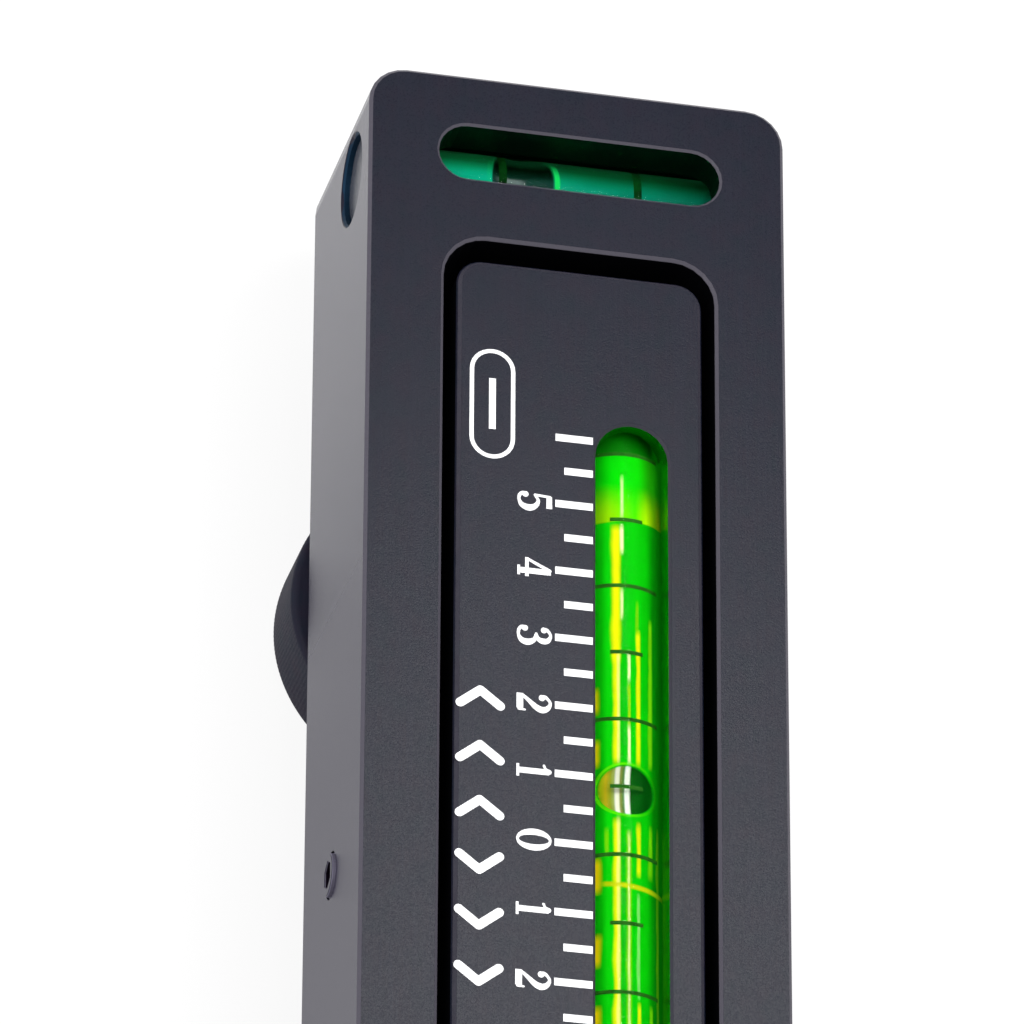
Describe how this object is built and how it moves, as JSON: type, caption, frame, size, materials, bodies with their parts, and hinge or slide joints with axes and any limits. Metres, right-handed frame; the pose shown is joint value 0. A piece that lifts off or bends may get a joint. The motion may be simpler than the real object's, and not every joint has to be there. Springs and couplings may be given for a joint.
{
  "type": "camber gauge",
  "caption": "Magnetic camber gauge: black bar with a rocking vial carrier, a cross level at its free end and a rear zeroing knob.",
  "frame": {"origin": "centre of the hub face, the magnetic end face of the bar", "axes": "+Y along the bar from the hub face to the free end, +Z out of the front face that shows the vials, +X to the right seen from the front"},
  "size_m": [0.0431, 0.1635, 0.0372],
  "materials": {
    "black_anodised": "black anodised, fine bead-blasted grain",
    "vial_glass": "clear polished",
    "camber_liquid": "clear green level liquid",
    "level_liquid": "clear blue-green level liquid",
    "vial_plug": "moulded dark green plug",
    "black_steel": "black oxide steel",
    "bright_steel": "bright zinc steel",
    "nickel_plate": "nickel plated steel",
    "ring_magnet": "sintered magnet, dark plated",
    "brass": "turned brass",
    "nylon": "natural nylon"
  },
  "bodies": {
    "bar": {"body": "black_anodised", "level_vial_tube": "vial_glass", "level_vial_liquid": "level_liquid", "level_vial_plug_left": "vial_plug", "level_vial_plug_right": "vial_plug", "level_bore_plug": "black_anodised", "pivot_screw_left": "black_steel", "pivot_screw_right": "black_steel", "friction_washer": "nylon", "backlash_spring": "bright_steel", "magnet_cup_1": "nickel_plate", "magnet_cup_2": "nickel_plate", "ring_magnet_1": "ring_magnet", "ring_magnet_2": "ring_magnet", "magnet_screw_1": "bright_steel", "magnet_screw_2": "bright_steel"},
    "carrier": {"vial_carrier": "black_anodised", "camber_vial_tube": "vial_glass", "camber_vial_liquid": "camber_liquid", "camber_vial_plug_hub_end": "vial_plug", "camber_vial_plug_free_end": "vial_plug", "vial_bore_plug": "brass", "lift_nut": "brass"},
    "knob": {"adjusting_knob": "black_anodised", "lead_screw": "bright_steel", "knob_grub_screw": "black_steel", "retaining_clip": "bright_steel"}
  },
  "joints": [
    {"name": "carrier_tilt", "type": "hinge", "parent": "bar", "child": "carrier", "pos_m": [0, 0.08175, 0], "axis": [1, 0, 0], "range_deg": [-1.25, 1.25], "deforming": ["backlash_spring"]},
    {"name": "knob_turn", "type": "hinge", "parent": "bar", "child": "knob", "pos_m": [-0.00688, 0.11855, -0.0127], "axis": [0, 0, 1], "range_deg": [-360, 360]}
  ],
  "couplings": [
    {"joint": "carrier_tilt", "follows": "knob_turn", "ratio": 0.0034599}
  ]
}
